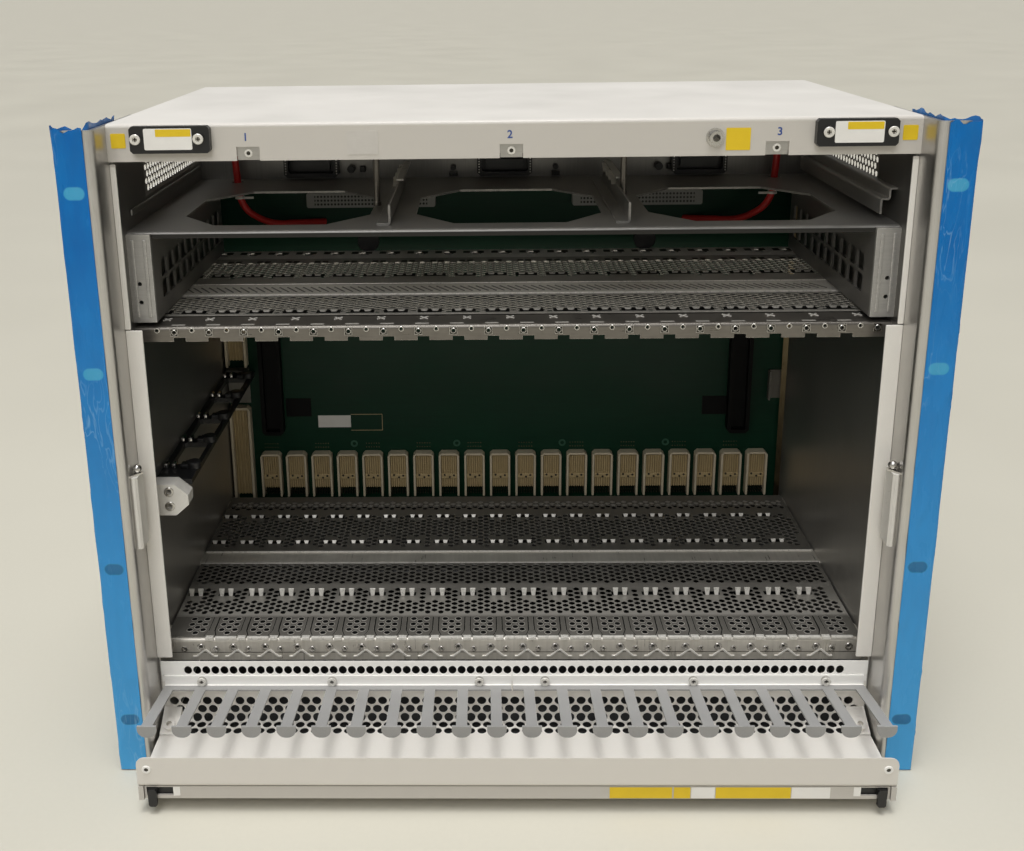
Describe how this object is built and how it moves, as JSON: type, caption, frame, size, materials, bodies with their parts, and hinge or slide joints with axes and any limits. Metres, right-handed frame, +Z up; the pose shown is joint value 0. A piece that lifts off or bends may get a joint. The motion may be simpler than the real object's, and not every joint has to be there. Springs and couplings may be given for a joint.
{
  "type": "optical transport shelf",
  "caption": "Open-front rack shelf with card guides, a backplane, fan bays above, a fibre trough with comb fingers below and a slide-out filter drawer.",
  "frame": {"origin": "middle of the width and depth, on the underside of the base pan", "axes": "+X to the right seen from the front, +Y towards the rear, +Z up; the open front faces -Y"},
  "size_m": [0.4832, 0.2874, 0.394],
  "materials": {
    "white_paint": "satin powder coat",
    "grey_paint": "satin paint",
    "zinc_sheet": "bare galvanised sheet",
    "bright_steel": "plated",
    "blue_film": "thin protective film",
    "black_plastic": "moulded",
    "beige_plastic": "moulded",
    "grey_plastic": "moulded",
    "white_plastic": "moulded",
    "green_board": "circuit board",
    "red_cord": "insulated cord",
    "copper_strip": "contact strip",
    "dark_foam": "open foam"
  },
  "bodies": {
    "chassis": {"backplane": "green_board", "backplane_clamp": "zinc_sheet", "backplane_standoffs": "bright_steel", "base_pan": "zinc_sheet", "bottom_front_rail": "zinc_sheet", "bottom_guide_front": "zinc_sheet", "bottom_guide_rear": "zinc_sheet", "bottom_middle_rail": "zinc_sheet", "bottom_rear_rail": "zinc_sheet", "cage_plate_left": "zinc_sheet", "cage_plate_right": "zinc_sheet", "comb_left": "grey_paint", "comb_right": "grey_paint", "comb_screws": "bright_steel", "control_bracket": "zinc_sheet", "control_connectors": "beige_plastic", "cover_catch_left": "bright_steel", "cover_catch_right": "bright_steel", "cover_latch_bar_left": "beige_plastic", "cover_latch_bar_right": "beige_plastic", "divider_block": "white_plastic", "divider_guide": "black_plastic", "ear_screws": "bright_steel", "earth_socket": "bright_steel", "edge_gasket": "copper_strip", "fan_bay_wall": "zinc_sheet", "fan_connectors": "black_plastic", "fan_guide_left": "zinc_sheet", "fan_guide_right": "zinc_sheet", "fan_lock_strip": "zinc_sheet", "fan_runner": "zinc_sheet", "fan_shelf": "zinc_sheet", "fibre_trough": "white_paint", "left_side_wall": "white_paint", "mid_front_rail": "zinc_sheet", "mid_guide_front": "zinc_sheet", "mid_guide_rear": "zinc_sheet", "mid_middle_rail": "zinc_sheet", "mid_rear_rail": "zinc_sheet", "power_connectors": "black_plastic", "protective_film_left": "blue_film", "protective_film_right": "blue_film", "rack_ear_left": "zinc_sheet", "rack_ear_right": "zinc_sheet", "rear_panel": "zinc_sheet", "red_lead_left": "red_cord", "red_lead_right": "red_cord", "right_side_wall": "white_paint", "shelf_connectors": "grey_plastic", "slot_connectors": "beige_plastic", "support_rods": "bright_steel", "terminal_cover_left": "black_plastic", "terminal_cover_right": "black_plastic", "terminal_cover_screws": "bright_steel", "top_cover": "white_paint", "trough_bushes": "bright_steel"},
    "filter_drawer": {"filter_drawer": "white_paint", "filter_mat": "dark_foam"},
    "latch_left": {"drawer_latch_left": "black_plastic"},
    "latch_right": {"drawer_latch_right": "black_plastic"}
  },
  "joints": [
    {"name": "drawer_slide", "type": "slide", "parent": "chassis", "child": "filter_drawer", "axis": [0, -1, 0], "range_m": [0, 0.18]},
    {"name": "latch_left_slide", "type": "slide", "parent": "filter_drawer", "child": "latch_left", "axis": [1, 0, 0], "range_m": [0, 0.006]},
    {"name": "latch_right_slide", "type": "slide", "parent": "filter_drawer", "child": "latch_right", "axis": [-1, 0, 0], "range_m": [0, 0.006]}
  ]
}
